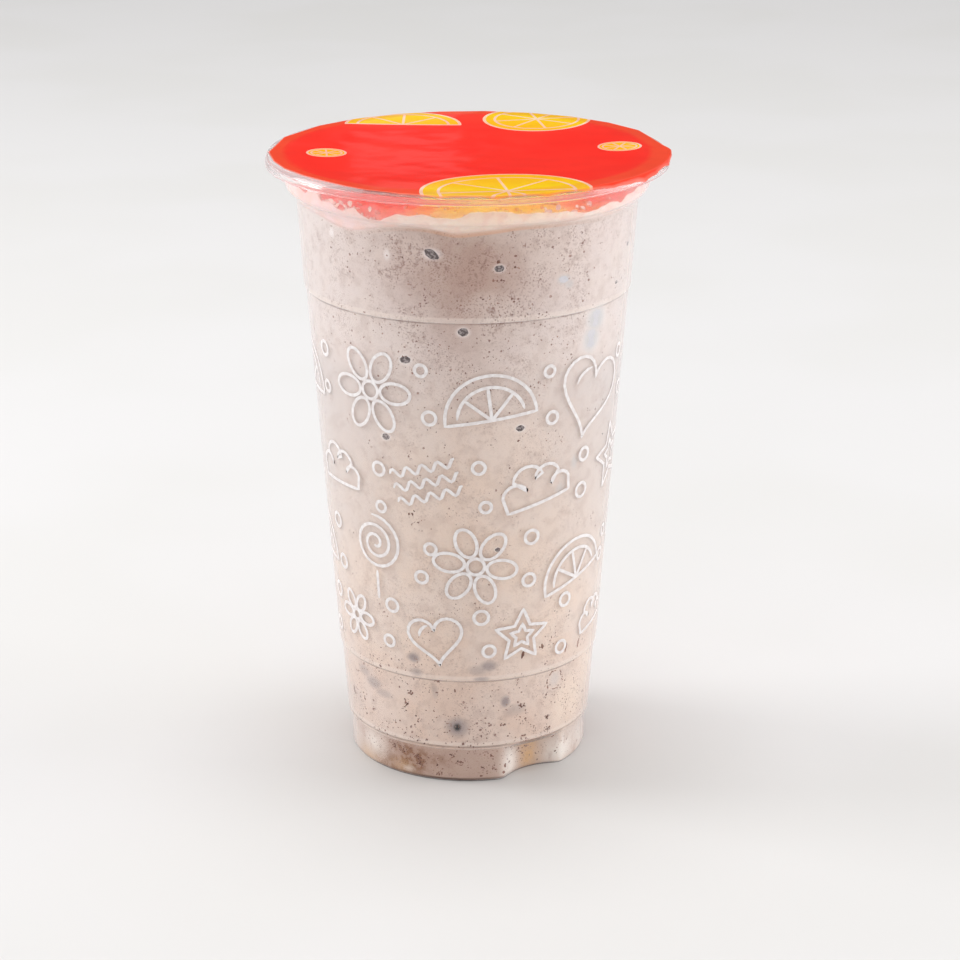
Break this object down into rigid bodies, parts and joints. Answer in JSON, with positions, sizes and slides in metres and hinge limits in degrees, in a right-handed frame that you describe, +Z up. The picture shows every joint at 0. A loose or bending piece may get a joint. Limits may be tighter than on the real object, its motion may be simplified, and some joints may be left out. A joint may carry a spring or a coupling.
{
  "type": "cookies and cream smoothie",
  "caption": "Blended milk drink with dark biscuit crumbs in a clear tapered plastic cup, sealed across its flat rim with a red and yellow film; stands on its foot.",
  "frame": {"origin": "on the cup's axis, at the level of the foot's lower face", "axes": "+Z up along the cup's axis, from the foot to the sealed rim; -Y towards the viewed front, with one flute of the foot a third of a turn to its right"},
  "size_m": [0.0955, 0.0955, 0.1498],
  "materials": {
    "clear_plastic": "clear, slightly hazy moulded plastic with a soft gloss",
    "smoothie": "wet blended drink, beige with dark crumbs",
    "froth": "pale, fine-bubbled froth",
    "film": "printed, slightly see-through sealing film with a soft gloss"
  },
  "bodies": {
    "root": {"cup": "clear_plastic", "smoothie": "smoothie", "froth": "froth", "film": "film"}
  },
  "joints": []
}
